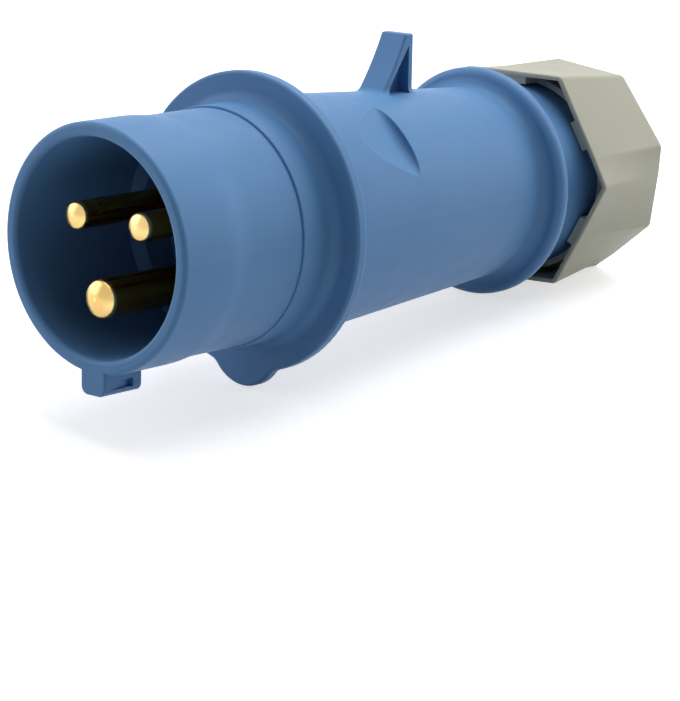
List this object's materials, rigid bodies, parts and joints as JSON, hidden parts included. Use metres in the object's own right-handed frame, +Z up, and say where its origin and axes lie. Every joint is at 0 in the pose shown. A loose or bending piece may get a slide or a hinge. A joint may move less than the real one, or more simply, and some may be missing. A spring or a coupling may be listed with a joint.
{
  "type": "industrial pin and sleeve plug",
  "caption": "Cable-mounted power plug: round keyed sleeve around domed contact pins, flanged tapered housing with retaining fin, and a gland nut that clamps the cable.",
  "frame": {"origin": "on the plug's axis in the plane of the flange's front face, where the plug meets its socket", "axes": "+Y along the plug's axis from the pins to the cable, +Z up towards the retaining fin"},
  "size_m": [0.0548, 0.1388, 0.0614],
  "materials": {
    "blue_plastic": "fine satin moulded",
    "grey_plastic": "satin moulded, warm light grey",
    "dark_plastic": "matt moulded, near black",
    "pale_plastic": "satin moulded",
    "pin_brass": "polished, turned",
    "plated_steel": "zinc plated",
    "black_rubber": "matt"
  },
  "bodies": {
    "plug": {"front_sleeve": "blue_plastic", "contact_carrier": "dark_plastic", "line_pin": "pin_brass", "neutral_pin": "pin_brass", "earth_pin": "pin_brass", "line_terminal": "plated_steel", "neutral_terminal": "plated_steel", "earth_terminal": "plated_steel", "line_screw": "plated_steel", "neutral_screw": "plated_steel", "earth_screw": "plated_steel", "carrier_cover": "dark_plastic", "cover_screw": "plated_steel", "housing_seal": "black_rubber", "rear_housing": "blue_plastic", "clamp_cage": "pale_plastic", "sealing_grommet": "black_rubber", "grommet_insert": "black_rubber"},
    "clamp_ring": {"clamp_ring": "pale_plastic"},
    "gland_nut": {"gland_nut": "grey_plastic"}
  },
  "joints": [
    {"name": "nut_travel", "type": "slide", "parent": "plug", "child": "clamp_ring", "axis": [0, 1, 0], "range_m": [-0.003, 0.006]},
    {"name": "nut_turn", "type": "hinge", "parent": "clamp_ring", "child": "gland_nut", "pos_m": [0, 0.09, 0], "axis": [0, 1, 0], "range_deg": [-360, 720]}
  ],
  "couplings": [
    {"joint": "nut_travel", "follows": "nut_turn", "m_per_rad": 0.00047746}
  ]
}
